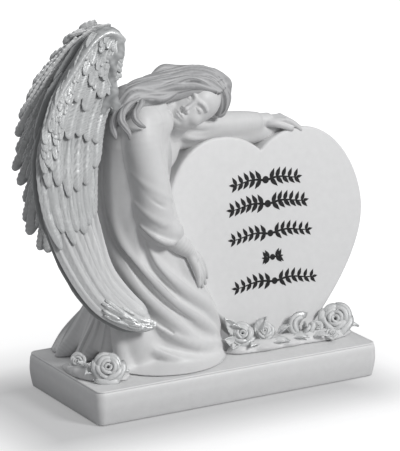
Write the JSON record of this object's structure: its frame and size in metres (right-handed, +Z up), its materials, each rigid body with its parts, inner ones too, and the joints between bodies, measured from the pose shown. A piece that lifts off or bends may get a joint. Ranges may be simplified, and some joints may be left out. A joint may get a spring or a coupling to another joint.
{
  "type": "resin angel figurine",
  "caption": "Kneeling winged angel with closed eyes leaning on a tilted heart plaque, roses at its foot, on an oblong plinth.",
  "frame": {"origin": "centre of the plinth's underside, on the felt", "axes": "+Z up, +X along the plinth towards the heart, front faces -Y"},
  "size_m": [0.2074, 0.082, 0.2047],
  "materials": {
    "smooth_resin": "smooth off-white cast resin with a soft satin surface",
    "cast_resin": "off-white cast resin with a faint casting grain and greyer hollows",
    "hair_resin": "off-white cast resin, combed, with greyer grooves",
    "silvered_feather": "resin dry-brushed with silver paint on the raised barbs and edges",
    "silvered_flower": "resin roses with silver paint brushed along the petal edges",
    "black_inlay": "black enamel fill",
    "closing_board": "plain grey board",
    "felt": "short dark grey felt",
    "steel_pin": "plain steel rod"
  },
  "bodies": {
    "root": {"plinth": "smooth_resin", "base_plate": "closing_board", "base_felt": "felt", "heart_plaque": "smooth_resin", "plaque_inlay": "black_inlay", "heart_dowels": "steel_pin", "gown": "cast_resin", "gown_train": "cast_resin", "gown_dowels": "steel_pin", "head": "cast_resin", "neck_dowel": "steel_pin", "hair": "hair_resin", "hair_lock": "hair_resin", "near_sleeve": "cast_resin", "near_hand": "cast_resin", "far_sleeve": "cast_resin", "far_hand": "cast_resin", "near_wing": "silvered_feather", "far_wing": "silvered_feather", "wing_dowels": "steel_pin", "corner_bed": "cast_resin", "corner_rose": "silvered_flower", "corner_bud": "silvered_flower", "corner_leaves": "silvered_flower", "garland_bed": "cast_resin", "first_rose": "silvered_flower", "second_rose": "silvered_flower", "curled_rose": "silvered_flower", "end_rose": "silvered_flower", "garland_buds": "silvered_flower", "garland_leaves": "silvered_flower"}
  },
  "joints": []
}
